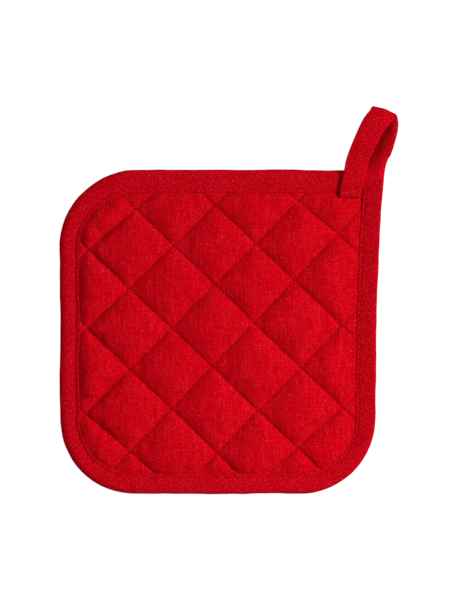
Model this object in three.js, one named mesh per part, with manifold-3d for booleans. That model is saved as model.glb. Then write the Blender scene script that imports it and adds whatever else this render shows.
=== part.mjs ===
// A square quilted pot holder: two cotton panels with wadding between them, sewn through in diamonds and
// bound all round with folded tape, which runs on past the square corner as a hanging loop.
// Millimetres. It lies on its back: +Z comes out of the front, +Y points to the edge with the loop.

import * as THREE from "three";
import { mergeVertices } from "three/addons/utils/BufferGeometryUtils.js";
import Module from "manifold-3d";

const wasm = await Module();
wasm.setup();

// The pad's outline, seen from the front: three round corners and a square one for the loop.
const LEFT_X = -98.2;
const RIGHT_X = 97.8;
const TOP_Y = 101;
const BOTTOM_Y = -100.3;
const CORNER_X = 103.4;
const CORNER_Y = 100;
const TOP_LEFT_RADIUS = 48.5;
const BOTTOM_RADIUS = 47;

// Layers. The back of a pillow rests on Z = 0, and every layer keeps GAP to the next one.
const GAP = 0.3;
const PANEL_THICKNESS = 0.6;
const SEAM_BACK_Z = 2.8;
const SEAM_FRONT_Z = 5.4;
const BACK_PILLOW = 2.8;
const FRONT_PILLOW = 3.2;
const PANEL_INSET = 2.6;

// Quilting seams: the height at which each one crosses the line X = 0, and its lean in degrees.
const FALLING_SEAMS = [
  [124.5, -41],
  [76.5, -43.5],
  [27, -44],
  [-25.5, -43.5],
  [-76, -44],
  [-122, -41],
];
const RISING_SEAMS = [
  [121, 41],
  [80, 43.5],
  [32, 45],
  [-17, 46.5],
  [-74, 45.5],
  [-115, 41.5],
];
const SEAM_WIDTH = 1.6;
const SHOULDER = { scale: 0.8, height: 0.62 };
const CREST = { scale: 0.46, height: 1 };
const FULL_PILLOW_INRADIUS = 14;
const SMALLEST_CELL_AREA = 60;
const SAME_CORNER = 0.5; // outline points closer than this are one corner

// Binding tape: its width on each side, and the heights of its front and back faces.
const BINDING_WIDTH = { top: 14.4, left: 12.1, bottom: 12.6, right: 12.5 };
const BINDING_THICKNESS = 1;
const BINDING_BACK_Z = 1.5;
const BINDING_FRONT_Z = 6.7;
const BINDING_FOLD = 2.2;
const TAPE_START_X = 101.3;
const LAP_FROM_Y = 76;
const LAP_TO_Y = 84;
const LAP_BACK = 1.4;
const LAP_FRONT = 1.4;

// Hanging loop: left edge, right edge and height of the tape's middle at each station.
const TAPE_THICKNESS = 2;
const TAPE_EDGE = 0.5;
const LOOP_STATIONS = [
  { left: [89.7, 106], right: [104.2, 106], z: 4 },
  { left: [91.8, 114.5], right: [107, 112], z: 2.6 },
  { left: [95.2, 125.5], right: [110.3, 123.3], z: 2.1 },
  { left: [96.2, 134], right: [111.2, 130], z: 3.2 },
  { left: [95.6, 139.2], right: [110.8, 133.8], z: 7.2 },
  { left: [93, 136.4], right: [108.6, 131], z: 11.8 },
  { left: [89, 130.5], right: [103.4, 125.4], z: 13.4 },
  { left: [82.8, 116.6], right: [96.6, 112.8], z: 12.9 },
  { left: [79.2, 106.4], right: [93.6, 106], z: 10 },
];
const SEWN_END_STATIONS = [
  { left: [75.6, 83.7], right: [89.2, 83.9], z: 8.5 },
  { left: [76, 90], right: [89.6, 90], z: 8.5 },
  { left: [76.9, 94.5], right: [90.6, 94.5], z: 9.5 },
  { left: [77.7, 98.3], right: [91.5, 98.3], z: 10 },
];
const TACK_Y = 88;
const TACK_FROM_X = 76.8;
const TACK_TO_X = 88.4;

// Sewing thread, drawn as a flat strip.
const THREAD_WIDTH = 0.6;
const THREAD_THICKNESS = 0.4;
const BINDING_SEAM_INSET = 1.8;
const BINDING_THREAD_START_X = 74.5;
const BINDING_THREAD_END_Y = 75;
const LOOP_SEAM_INSET = 2;
const HOP_FLAT = 0.8;
const HOP_RAMP = 2;

const PANEL_RED = 0xc40a1c;
const TAPE_RED = 0xbb081b;
const THREAD_RED = 0xa8061a;
const WADDING_WHITE = 0xe9e4d8;

function fabric(colour, roughness) {
  return new THREE.MeshStandardMaterial({ color: colour, roughness, metalness: 0 });
}

const panelCloth = fabric(PANEL_RED, 0.9);
const tapeCloth = fabric(TAPE_RED, 0.9);
const thread = fabric(THREAD_RED, 0.7);
const fibre = fabric(WADDING_WHITE, 1);

// ---- Geometry helpers ----

function signedVolume(positions, index) {
  const corner = (n) => new THREE.Vector3().fromArray(positions, 3 * n);
  let sum = 0;
  for (let i = 0; i < index.length; i += 3) {
    const across = corner(index[i + 1]).cross(corner(index[i + 2]));
    sum += corner(index[i]).dot(across) / 6;
  }
  return sum;
}

// A closed body through rings of equal length. outline is one ring in 2-D, which the end caps follow.
function loft(rings, outline) {
  const count = outline.length;
  const positions = rings.flat().flatMap((p) => [p.x, p.y, p.z]);
  const index = [];
  for (let ring = 0; ring + 1 < rings.length; ring++) {
    for (let i = 0; i < count; i++) {
      const a = ring * count + i;
      const b = ring * count + ((i + 1) % count);
      index.push(a, b, b + count, a, b + count, a + count);
    }
  }
  const last = (rings.length - 1) * count;
  const clockwise = THREE.ShapeUtils.isClockWise(outline);
  for (const [a, b, c] of THREE.ShapeUtils.triangulateShape(outline, [])) {
    const [p, q] = clockwise ? [c, b] : [b, c];
    index.push(a, q, p, last + a, last + p, last + q);
  }
  if (signedVolume(positions, index) < 0) index.reverse();
  const geometry = new THREE.BufferGeometry();
  geometry.setAttribute("position", new THREE.Float32BufferAttribute(positions, 3));
  geometry.setIndex(index);
  return geometry;
}

function toSolid(geometry) {
  const bare = geometry.clone();
  bare.deleteAttribute("normal");
  bare.deleteAttribute("uv");
  const merged = mergeVertices(bare, 1e-4);
  const vertProperties = new Float32Array(merged.attributes.position.array);
  const triVerts = new Uint32Array(merged.index.array);
  return new wasm.Manifold(new wasm.Mesh({ numProp: 3, vertProperties, triVerts }));
}

function toGeometry(solid) {
  const { vertProperties, triVerts } = solid.getMesh();
  const geometry = new THREE.BufferGeometry();
  geometry.setAttribute("position", new THREE.BufferAttribute(new Float32Array(vertProperties), 3));
  geometry.setIndex(new THREE.BufferAttribute(new Uint32Array(triVerts), 1));
  return geometry;
}

function named(name, geometry, material) {
  geometry.computeVertexNormals();
  const mesh = new THREE.Mesh(geometry, material);
  mesh.name = name;
  return mesh;
}

// ---- Outline of the pad ----

// Counter-clockwise from the top edge beside the square corner, round to that corner from below.
function outlinePath(startX) {
  const topLeft = new THREE.Vector2(LEFT_X + TOP_LEFT_RADIUS, TOP_Y - TOP_LEFT_RADIUS);
  const bottomLeft = new THREE.Vector2(LEFT_X + BOTTOM_RADIUS, BOTTOM_Y + BOTTOM_RADIUS);
  const bottomRight = new THREE.Vector2(RIGHT_X - BOTTOM_RADIUS, BOTTOM_Y + BOTTOM_RADIUS);
  const path = new THREE.Path();
  path.moveTo(startX, CORNER_Y);
  path.lineTo(topLeft.x, TOP_Y);
  path.absarc(topLeft.x, topLeft.y, TOP_LEFT_RADIUS, Math.PI / 2, Math.PI, false);
  path.lineTo(LEFT_X, bottomLeft.y);
  path.absarc(bottomLeft.x, bottomLeft.y, BOTTOM_RADIUS, Math.PI, 1.5 * Math.PI, false);
  path.lineTo(bottomRight.x, BOTTOM_Y);
  path.absarc(bottomRight.x, bottomRight.y, BOTTOM_RADIUS, 1.5 * Math.PI, 2 * Math.PI, false);
  path.bezierCurveTo(RIGHT_X, 10, RIGHT_X + 0.4, 45, CORNER_X, CORNER_Y);
  return path;
}

// Width of the binding where the outline's inward normal is this one.
function bindingWidth(inward) {
  const { top, left, bottom, right } = BINDING_WIDTH;
  const upright = inward.y < 0 ? top : bottom;
  const sideways = inward.x > 0 ? left : right;
  return upright * inward.y ** 2 + sideways * inward.x ** 2;
}

// Points along the outline, each with its inward normal, binding width and share of the corner lap.
function edgeStations(startX) {
  const stations = [];
  for (const curve of outlinePath(startX).curves) {
    if (curve.getLength() < SAME_CORNER) continue;
    const steps = curve.isLineCurve ? 3 : 9;
    for (let i = stations.length ? 1 : 0; i <= steps; i++) {
      const point = curve.getPoint(i / steps);
      const along = curve.getTangent(i / steps);
      const inward = new THREE.Vector2(-along.y, along.x);
      const lap = inward.x < -0.5 ? THREE.MathUtils.smoothstep(point.y, LAP_FROM_Y, LAP_TO_Y) : 0;
      stations.push({ point, inward, width: bindingWidth(inward), lap });
    }
  }
  return stations;
}

// The outline moved inwards. The square corner is put back where its two sides meet.
function insetOutline(distanceAt) {
  const stations = edgeStations(CORNER_X);
  const points = stations.map(({ point, inward, width }) =>
    point.clone().addScaledVector(inward, distanceAt(width)),
  );
  const top = points[0];
  const side = points[points.length - 1];
  const corner = new THREE.Vector2(side.x, top.y);
  return [corner, ...points.slice(1, -1).filter((p) => p.y < corner.y || p.x < corner.x - 5)];
}

// ---- Quilting ----

function seamDistance([height, lean], point) {
  const angle = THREE.MathUtils.degToRad(lean);
  return (point.y - height) * Math.cos(angle) - point.x * Math.sin(angle);
}

// The part of a polygon on one side of a seam, past half of the seam's width.
function clip(polygon, seam, side) {
  const inside = (p) => side * seamDistance(seam, p) - SEAM_WIDTH / 2;
  const kept = [];
  polygon.forEach((p, i) => {
    const q = polygon[(i + 1) % polygon.length];
    const [dp, dq] = [inside(p), inside(q)];
    if (dp >= 0) kept.push(p);
    if (dp * dq < 0) kept.push(p.clone().lerp(q, dp / (dp - dq)));
  });
  return kept;
}

function perimeter(polygon) {
  return polygon.reduce((sum, p, i) => sum + p.distanceTo(polygon[(i + 1) % polygon.length]), 0);
}

function quiltCells() {
  const field = insetOutline((width) => width + GAP);
  const cells = [];
  for (let row = 0; row <= FALLING_SEAMS.length; row++) {
    for (let column = 0; column <= RISING_SEAMS.length; column++) {
      let cell = field;
      if (row > 0) cell = clip(cell, FALLING_SEAMS[row - 1], -1);
      if (row < FALLING_SEAMS.length) cell = clip(cell, FALLING_SEAMS[row], 1);
      if (column > 0) cell = clip(cell, RISING_SEAMS[column - 1], -1);
      if (column < RISING_SEAMS.length) cell = clip(cell, RISING_SEAMS[column], 1);
      cell = cell.filter((p, i) => p.distanceTo(cell[(i + 1) % cell.length]) > SAME_CORNER);
      const area = cell.length > 2 ? Math.abs(THREE.ShapeUtils.area(cell)) : 0;
      if (area > SMALLEST_CELL_AREA) cells.push({ polygon: cell, area });
    }
  }
  return cells;
}

// One padded cell, standing away from the seam level by up to rise (negative on the back).
function pillow({ polygon, area }, seamZ, rise) {
  const centre = new THREE.Vector2();
  polygon.forEach((p) => centre.addScaledVector(p, 1 / polygon.length));
  const fullness = Math.min(1, (2 * area) / perimeter(polygon) / FULL_PILLOW_INRADIUS);
  const ring = (scale, z) =>
    polygon.map((p) => {
      const moved = centre.clone().lerp(p, scale);
      return new THREE.Vector3(moved.x, moved.y, z);
    });
  const rings = [
    ring(1, seamZ - Math.sign(rise)),
    ring(1, seamZ),
    ring(SHOULDER.scale, seamZ + rise * fullness * SHOULDER.height),
    ring(CREST.scale, seamZ + rise * fullness * CREST.height),
  ];
  return toSolid(loft(rings, polygon));
}

function slab(outline, fromZ, toZ) {
  const geometry = new THREE.ExtrudeGeometry(new THREE.Shape(outline), {
    depth: toZ - fromZ,
    bevelEnabled: false,
  });
  return toSolid(geometry.translate(0, 0, fromZ));
}

// Everything on the inner side of a panel's outer face: a slab as wide as the pad, with its pillows.
function quiltedSolid(cells, fromZ, toZ, seamZ, rise) {
  const wide = slab(insetOutline(() => 0), fromZ, toZ);
  return cells.reduce((solid, cell) => solid.add(pillow(cell, seamZ, rise)), wide);
}

function panels() {
  const cells = quiltCells();
  const depth = 10;
  const front = quiltedSolid(cells, -depth, SEAM_FRONT_Z, SEAM_FRONT_Z, FRONT_PILLOW);
  const back = quiltedSolid(cells, SEAM_BACK_Z, SEAM_BACK_Z + depth, SEAM_BACK_Z, -BACK_PILLOW);
  const inner = PANEL_THICKNESS + GAP;
  const filling = front.translate([0, 0, -inner]).intersect(back.translate([0, 0, inner]));
  const frontSheet = front.subtract(front.translate([0, 0, -PANEL_THICKNESS]));
  const backSheet = back.subtract(back.translate([0, 0, PANEL_THICKNESS]));
  const cutLine = slab(insetOutline(() => PANEL_INSET), -2 * depth, 2 * depth);
  return [
    named("front_panel", toGeometry(frontSheet.intersect(cutLine)), panelCloth),
    named("wadding", toGeometry(filling.intersect(cutLine)), fibre),
    named("back_panel", toGeometry(backSheet.intersect(cutLine)), panelCloth),
  ];
}

// ---- Quilting thread ----

// Where a seam enters and leaves the quilted field.
function seamEnds(seam, field) {
  const ends = [];
  field.forEach((p, i) => {
    const q = field[(i + 1) % field.length];
    const [dp, dq] = [seamDistance(seam, p), seamDistance(seam, q)];
    if (dp * dq < 0) ends.push(p.clone().lerp(q, dp / (dp - dq)));
  });
  return ends.sort((p, q) => p.x - q.x);
}

function seamCrossing([height, lean], [otherHeight, otherLean]) {
  const slope = Math.tan(THREE.MathUtils.degToRad(lean));
  const otherSlope = Math.tan(THREE.MathUtils.degToRad(otherLean));
  const x = (otherHeight - height) / (slope - otherSlope);
  return new THREE.Vector2(x, height + slope * x);
}

// A flat thread along a seam. It hops over the threads of the seams in crossed.
function seamThread(seam, field, crossed, clothZ, side) {
  const [start, end] = seamEnds(seam, field);
  const length = start.distanceTo(end);
  const direction = end.clone().sub(start).normalize();
  const hop = THREAD_THICKNESS + GAP;
  const line = [[0, 0]];
  for (const other of crossed) {
    const along = seamCrossing(seam, other).sub(start).dot(direction);
    if (along < HOP_RAMP + 1 || along > length - HOP_RAMP - 1) continue;
    line.push([along - HOP_RAMP, 0], [along - HOP_FLAT, hop], [along + HOP_FLAT, hop], [along + HOP_RAMP, 0]);
  }
  line.sort((p, q) => p[0] - q[0]);
  line.push([length, 0]);
  const near = line.map(([along, z]) => new THREE.Vector2(along, side * (GAP + z)));
  const far = line.map(([along, z]) => new THREE.Vector2(along, side * (GAP + THREAD_THICKNESS + z)));
  const geometry = new THREE.ExtrudeGeometry(new THREE.Shape([...near, ...far.reverse()]), {
    depth: THREAD_WIDTH,
    bevelEnabled: false,
  });
  const along = new THREE.Vector3(direction.x, direction.y, 0);
  const up = new THREE.Vector3(0, 0, 1);
  const across = along.clone().cross(up);
  geometry.applyMatrix4(new THREE.Matrix4().makeBasis(along, up, across));
  const origin = new THREE.Vector3(start.x, start.y, clothZ);
  origin.addScaledVector(across, -THREAD_WIDTH / 2);
  return geometry.translate(origin.x, origin.y, origin.z);
}

function quiltingThreads() {
  const field = insetOutline((width) => width + 2 * GAP);
  const faces = [
    { face: "front", clothZ: SEAM_FRONT_Z, side: 1 },
    { face: "back", clothZ: SEAM_BACK_Z, side: -1 },
  ];
  return faces.flatMap(({ face, clothZ, side }) => [
    ...FALLING_SEAMS.map((seam, i) =>
      named(`quilting_thread_${face}_falling_${i + 1}`, seamThread(seam, field, [], clothZ, side), thread),
    ),
    ...RISING_SEAMS.map((seam, i) =>
      named(
        `quilting_thread_${face}_rising_${i + 1}`,
        seamThread(seam, field, FALLING_SEAMS, clothZ, side),
        thread,
      ),
    ),
  ]);
}

// ---- Binding ----

// The folded tape's section: x is the distance in from the pad's edge, y is the height.
function bindingSection(width, lap) {
  const back = BINDING_BACK_Z - LAP_BACK * lap;
  const front = BINDING_FRONT_Z + LAP_FRONT * lap;
  const middle = (front + back) / 2;
  const fold = (depth, height) =>
    [-90, -60, -30, 0, 30, 60, 90].map((degrees) => {
      const angle = THREE.MathUtils.degToRad(degrees);
      return new THREE.Vector2(BINDING_FOLD - depth * Math.cos(angle), middle + height * Math.sin(angle));
    });
  const outer = fold(BINDING_FOLD, (front - back) / 2);
  const inner = fold(BINDING_FOLD - BINDING_THICKNESS, (front - back) / 2 - BINDING_THICKNESS);
  return [
    new THREE.Vector2(width, back),
    ...outer,
    new THREE.Vector2(width, front),
    new THREE.Vector2(width, front - BINDING_THICKNESS),
    ...inner.reverse(),
    new THREE.Vector2(width, back + BINDING_THICKNESS),
  ].reverse();
}

function alongEdge(stations, sectionAt) {
  const rings = stations.map((station) =>
    sectionAt(station).map(({ x, y }) => {
      const place = station.point.clone().addScaledVector(station.inward, x);
      return new THREE.Vector3(place.x, place.y, y);
    }),
  );
  return loft(rings, sectionAt(stations[0]));
}

function rectangle(fromX, toX, fromY, toY) {
  return [
    new THREE.Vector2(fromX, fromY),
    new THREE.Vector2(toX, fromY),
    new THREE.Vector2(toX, toY),
    new THREE.Vector2(fromX, toY),
  ];
}

function binding() {
  const stations = edgeStations(TAPE_START_X);
  const tape = alongEdge(stations, ({ width, lap }) => bindingSection(width, lap));
  const sewn = edgeStations(BINDING_THREAD_START_X).filter(
    ({ point, inward }) => inward.x > -0.5 || point.y < BINDING_THREAD_END_Y,
  );
  const seam = (fromZ, toZ) =>
    alongEdge(sewn, ({ width }) => {
      const middle = width - BINDING_SEAM_INSET;
      return rectangle(middle - THREAD_WIDTH / 2, middle + THREAD_WIDTH / 2, fromZ, toZ);
    });
  const frontZ = BINDING_FRONT_Z + GAP;
  const backZ = BINDING_BACK_Z - GAP;
  return [
    named("edge_binding", tape, tapeCloth),
    named("binding_thread_front", seam(frontZ, frontZ + THREAD_THICKNESS), thread),
    named("binding_thread_back", seam(backZ - THREAD_THICKNESS, backZ), thread),
  ];
}

// ---- Hanging loop ----

// Frames along the tape, each with its two edges and the direction out of the loop.
function tapeFrames(stations, count) {
  const edge = (side) =>
    new THREE.CatmullRomCurve3(stations.map((s) => new THREE.Vector3(s[side][0], s[side][1], s.z)));
  const [leftEdge, rightEdge] = [edge("left"), edge("right")];
  return Array.from({ length: count + 1 }, (_, i) => {
    const t = i / count;
    const left = leftEdge.getPoint(t);
    const right = rightEdge.getPoint(t);
    const along = leftEdge.getTangent(t).add(rightEdge.getTangent(t)).normalize();
    const across = right.clone().sub(left).normalize();
    const outward = along.clone().cross(across).normalize();
    return { left, right, across, outward, width: left.distanceTo(right) };
  });
}

// A body along the frames. section gives points as distance from the left edge and height out of the loop.
function alongTape(frames, section) {
  const rings = frames.map((frame) =>
    section(frame.width).map(({ x, y }) =>
      frame.left.clone().addScaledVector(frame.across, x).addScaledVector(frame.outward, y),
    ),
  );
  return loft(rings, section(frames[0].width));
}

function tapeSection(width) {
  const half = TAPE_THICKNESS / 2;
  return [
    new THREE.Vector2(0, -half + TAPE_EDGE),
    new THREE.Vector2(TAPE_EDGE, -half),
    new THREE.Vector2(width - TAPE_EDGE, -half),
    new THREE.Vector2(width, -half + TAPE_EDGE),
    new THREE.Vector2(width, half - TAPE_EDGE),
    new THREE.Vector2(width - TAPE_EDGE, half),
    new THREE.Vector2(TAPE_EDGE, half),
    new THREE.Vector2(0, half - TAPE_EDGE),
  ];
}

function bar(fromX, toX, y, fromZ, toZ) {
  const geometry = new THREE.BoxGeometry(toX - fromX, THREAD_WIDTH, toZ - fromZ);
  return geometry.translate((fromX + toX) / 2, y, (fromZ + toZ) / 2);
}

// The end of the tape, turned to the front and sewn down on the corner.
function sewnEnd() {
  const frames = tapeFrames(SEWN_END_STATIONS, 9);
  const topZ = SEWN_END_STATIONS[0].z + TAPE_THICKNESS / 2 + GAP;
  const backZ = BINDING_BACK_Z - GAP;
  const frontBar = bar(TACK_FROM_X, TACK_TO_X, TACK_Y, topZ, topZ + THREAD_THICKNESS);
  const backBar = bar(TACK_FROM_X, TACK_TO_X, TACK_Y, backZ - THREAD_THICKNESS, backZ);
  return [
    named("loop_sewn_end", alongTape(frames, tapeSection), tapeCloth),
    named("loop_tack_thread_front", frontBar, thread),
    named("loop_tack_thread_back", backBar, thread),
  ];
}

function hangingLoop() {
  const frames = tapeFrames(LOOP_STATIONS, 32);
  const sewn = frames.slice(4, -4);
  const lift = TAPE_THICKNESS / 2 + GAP;
  const seam = (from, to) =>
    alongTape(sewn, () => rectangle(LOOP_SEAM_INSET, LOOP_SEAM_INSET + THREAD_WIDTH, from, to));
  return [
    named("hanging_loop", alongTape(frames, tapeSection), tapeCloth),
    named("loop_edge_thread_outer", seam(lift, lift + THREAD_THICKNESS), thread),
    named("loop_edge_thread_inner", seam(-lift - THREAD_THICKNESS, -lift), thread),
  ];
}

const potHolder = new THREE.Group();
potHolder.add(...panels());
potHolder.add(...quiltingThreads());
potHolder.add(...binding());
potHolder.add(...sewnEnd());
potHolder.add(...hangingLoop());

export default potHolder;
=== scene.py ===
"""A square quilted pot holder with a hanging loop: the look of its cloth, tape, thread and wadding."""

import math

import bpy
import numpy as np
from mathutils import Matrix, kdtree


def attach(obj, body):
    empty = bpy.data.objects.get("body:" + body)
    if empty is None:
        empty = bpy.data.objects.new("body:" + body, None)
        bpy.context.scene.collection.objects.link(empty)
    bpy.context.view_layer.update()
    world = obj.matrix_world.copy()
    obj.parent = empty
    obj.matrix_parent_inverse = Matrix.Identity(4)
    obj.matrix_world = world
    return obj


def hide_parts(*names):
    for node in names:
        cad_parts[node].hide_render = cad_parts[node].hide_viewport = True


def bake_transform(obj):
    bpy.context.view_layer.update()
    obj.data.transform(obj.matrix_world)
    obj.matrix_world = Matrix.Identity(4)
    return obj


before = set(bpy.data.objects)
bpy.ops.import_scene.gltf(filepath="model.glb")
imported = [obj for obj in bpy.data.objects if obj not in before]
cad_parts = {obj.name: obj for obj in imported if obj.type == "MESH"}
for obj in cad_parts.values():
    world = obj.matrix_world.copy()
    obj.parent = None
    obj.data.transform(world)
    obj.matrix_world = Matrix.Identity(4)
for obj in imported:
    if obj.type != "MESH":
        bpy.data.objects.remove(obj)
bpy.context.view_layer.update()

MM = 0.001
UP = np.array([0.0, 0.0, 1.0])

# The pad's outline in millimetres, seen from the front: three round corners and a square one.
LEFT_X, RIGHT_X, TOP_Y, BOTTOM_Y = -98.2, 97.8, 101.0, -100.3
CORNER = (103.4, 100.0)
TOP_LEFT_RADIUS, BOTTOM_RADIUS = 48.5, 47.0
RIGHT_CONTROLS = ((97.8, 10.0), (98.2, 45.0))

# Quilting seams: the height at which each one crosses x = 0, and its lean in degrees.
FALLING = [(124.5, -41), (76.5, -43.5), (27, -44), (-25.5, -43.5), (-76, -44), (-122, -41)]
RISING = [(121, 41), (80, 43.5), (32, 45), (-17, 46.5), (-74, 45.5), (-115, 41.5)]
SPARE_LINES = 2  # grid lines beyond the last seam of each family

# Layers, in millimetres.
SEAM_Z = {"front": 5.4, "back": 2.8}
PILLOW = {"front": 4.4, "back": 2.72}  # how far the pillows rise past the seams
MIDDLE_Z = 4.1
CLOTH_THICKNESS = 0.5
TABLE_GAP = 0.04  # what lies flat keeps this far above Z = 0
CLOTH_CUT = 3.5  # how far the cloth's edge lies inside the pad's edge
WADDING_CUT = 5.0

# Simulation.
CELL_STEPS = 20  # grid steps from seam to seam
SIM_FRAMES = 20
PRESSURE = 120.0
GROWTH = {"front": 0.028, "back": 0.026}
PLUMPER = {"front": 1.14, "back": 1.0}

# Finer grid after the simulation.
FINE_STEPS = 42
SEAM_DENSITY = 0.45

STITCH_PITCH = 3.0

# Binding tape, in millimetres. It is thicker where its end lies over its start.
BINDING_WIDTH = {"top": 14.4, "left": 12.1, "bottom": 12.6, "right": 12.5}
BINDING_HALF = 2.6
LAP_HALF = 4.0
LAP_FROM_Y, LAP_TO_Y = 74.0, 84.0
TAPE_CLOTH = 1.1
TAPE_STEP = 1.2
TAPE_START_X = 101.3
PAD_TAPE_TOP_Y = 96.0
RIGHT_SIDE_X, RIGHT_SIDE_FROM_WAY = 60.0, 400.0
LOOP_HALF = 0.85


# ---- Small helpers ----

NOISE_CELLS = 64  # the noise repeats after this many units
SIM_SEED = {"front": 3, "back": 11}
CREASE_SEED = {"front": 60, "back": 80}


def smooth(t):
    """An even ease from 0 to 1."""
    t = np.clip(t, 0.0, 1.0)
    return t * t * (3 - 2 * t)


def value_noise(x, y, seed):
    """Smooth noise from -1 to 1, with features one unit across, from this number's own draw.

    Callers divide millimetres by the size of the features that they want.
    """
    table = np.random.default_rng(seed).uniform(-1, 1, (NOISE_CELLS, NOISE_CELLS))
    x0, y0 = np.floor(x).astype(int), np.floor(y).astype(int)
    u, v = smooth(x - x0), smooth(y - y0)

    def pick(i, j):
        return table[(x0 + i) % NOISE_CELLS, (y0 + j) % NOISE_CELLS]

    low = pick(0, 0) * (1 - u) + pick(1, 0) * u
    high = pick(0, 1) * (1 - u) + pick(1, 1) * u
    return low * (1 - v) + high * v


def unit(v):
    """Vectors of length one."""
    return v / np.maximum(np.linalg.norm(v, axis=-1, keepdims=True), 1e-9)


def make_object(name, points, faces, smooth_shading=True):
    """A mesh object from points in millimetres and a list of faces."""
    mesh = bpy.data.meshes.new(name)
    faces = [face.tolist() if isinstance(face, np.ndarray) else face for face in faces]
    mesh.from_pydata((np.asarray(points) * MM).tolist(), [], [f for g in faces for f in g])
    mesh.polygons.foreach_set("use_smooth", [smooth_shading] * len(mesh.polygons))
    mesh.update()
    piece = bpy.data.objects.new(name, mesh)
    bpy.context.scene.collection.objects.link(piece)
    return piece


# ---- The pad's edge ----


def arc(centre, radius, start, end, count=160):
    """Points on a circle from one angle to another, in degrees."""
    angle = np.radians(np.linspace(start, end, count))
    return np.stack([centre[0] + radius * np.cos(angle), centre[1] + radius * np.sin(angle)], -1)


def straight(start, end, count=400):
    """Points on a straight line."""
    t = np.linspace(0, 1, count)[:, None]
    return np.array(start) * (1 - t) + np.array(end) * t


def bezier(a, b, c, d, count=400):
    """Points on a cubic curve between a and d."""
    t = np.linspace(0, 1, count)[:, None]
    a, b, c, d = (np.array(p) for p in (a, b, c, d))
    return a * (1 - t) ** 3 + 3 * b * t * (1 - t) ** 2 + 3 * c * t * t * (1 - t) + d * t**3


def pad_edge():
    """The edge from the square corner leftwards along the top and anticlockwise back to the corner."""
    top_left = (LEFT_X + TOP_LEFT_RADIUS, TOP_Y - TOP_LEFT_RADIUS)
    low = BOTTOM_Y + BOTTOM_RADIUS
    bottom_left = (LEFT_X + BOTTOM_RADIUS, low)
    bottom_right = (RIGHT_X - BOTTOM_RADIUS, low)
    return np.concatenate([
        straight(CORNER, (top_left[0], TOP_Y)),
        arc(top_left, TOP_LEFT_RADIUS, 90, 180)[1:],
        straight((LEFT_X, top_left[1]), (LEFT_X, low))[1:],
        arc(bottom_left, BOTTOM_RADIUS, 180, 270)[1:],
        straight((bottom_left[0], BOTTOM_Y), (bottom_right[0], BOTTOM_Y))[1:],
        arc(bottom_right, BOTTOM_RADIUS, 270, 360)[1:],
        bezier((RIGHT_X, low), *RIGHT_CONTROLS, CORNER)[1:],
    ])


def resample(points, step):
    """The same path with points an even step apart."""
    gaps = np.linalg.norm(np.diff(points, axis=0), axis=1)
    way = np.concatenate([[0], np.cumsum(gaps)])
    count = int(round(way[-1] / step))
    at = np.linspace(0, way[-1], count + 1)
    return np.stack([np.interp(at, way, points[:, i]) for i in range(points.shape[1])], -1)


def inward(points):
    """The inward normal of an edge that runs anticlockwise."""
    along = unit(np.gradient(points, axis=0))
    return np.stack([-along[:, 1], along[:, 0]], -1)


def binding_width(normal):
    """The tape's width where the edge's inward normal is this."""
    upright = np.where(normal[:, 1] < 0, BINDING_WIDTH["top"], BINDING_WIDTH["bottom"])
    sideways = np.where(normal[:, 0] > 0, BINDING_WIDTH["left"], BINDING_WIDTH["right"])
    return upright * normal[:, 1] ** 2 + sideways * normal[:, 0] ** 2


def edge_distance(x, y):
    """How far each point lies inside the pad's edge, the inward normal there, and the binding's width."""
    flat = np.stack([np.ravel(x), np.ravel(y)], -1)
    hits = np.array([EDGE_TREE.find((p[0], p[1], 0))[1] for p in flat.tolist()])
    normal = EDGE_NORMALS[hits]
    inside = ((flat - EDGE[hits]) * normal).sum(1)
    far = np.linalg.norm(flat - EDGE[hits], axis=1)
    past_corner = np.isin(hits, (0, len(EDGE) - 1)) & ((flat > np.array(CORNER)).any(1))
    inside = np.where((inside < 0) | past_corner, -far, far)
    shape = np.shape(x)
    return inside.reshape(shape), normal.reshape(shape + (2,)), EDGE_WIDTHS[hits].reshape(shape)


EDGE_STEP = 0.5
EDGE = resample(pad_edge(), EDGE_STEP)
EDGE_NORMALS = inward(EDGE)
EDGE_WIDTHS = binding_width(EDGE_NORMALS)
EDGE_TREE = kdtree.KDTree(len(EDGE))
for number, point in enumerate(EDGE.tolist()):
    EDGE_TREE.insert((point[0], point[1], 0), number)
EDGE_TREE.balance()


# ---- The quilting grid, whose lines run along the seams ----


def spare(seams):
    """Seam lines with spare ones beyond each end, at the last spacing."""
    lines = [tuple(map(float, line)) for line in seams]
    for _ in range(SPARE_LINES):
        lines.insert(0, (2 * lines[0][0] - lines[1][0], lines[0][1]))
        lines.append((2 * lines[-1][0] - lines[-2][0], lines[-1][1]))
    return np.array(lines)


def grid_points(steps):
    """The crossing of every pair of grid lines."""

    def lines(seams):
        table = spare(seams)
        at = np.arange((len(table) - 1) * steps + 1) / steps
        heights = np.interp(at, np.arange(len(table)), table[:, 0])
        leans = np.interp(at, np.arange(len(table)), table[:, 1])
        return heights, np.tan(np.radians(leans))

    fall_height, fall_slope = lines(FALLING)
    rise_height, rise_slope = lines(RISING)
    x = (rise_height[None] - fall_height[:, None]) / (fall_slope[:, None] - rise_slope[None])
    return x, fall_height[:, None] + fall_slope[:, None] * x


def grid_faces(keep):
    """Quads of the kept cells of a grid, facing up, and the grid points that they use."""
    rows, columns = keep.shape[0] + 1, keep.shape[1] + 1
    number = np.arange(rows * columns).reshape(rows, columns)
    corners = [number[:-1, :-1], number[1:, :-1], number[1:, 1:], number[:-1, 1:]]
    faces = np.stack([c[keep] for c in corners], -1)
    used, local = np.unique(faces, return_inverse=True)
    return local.reshape(faces.shape), used


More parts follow.
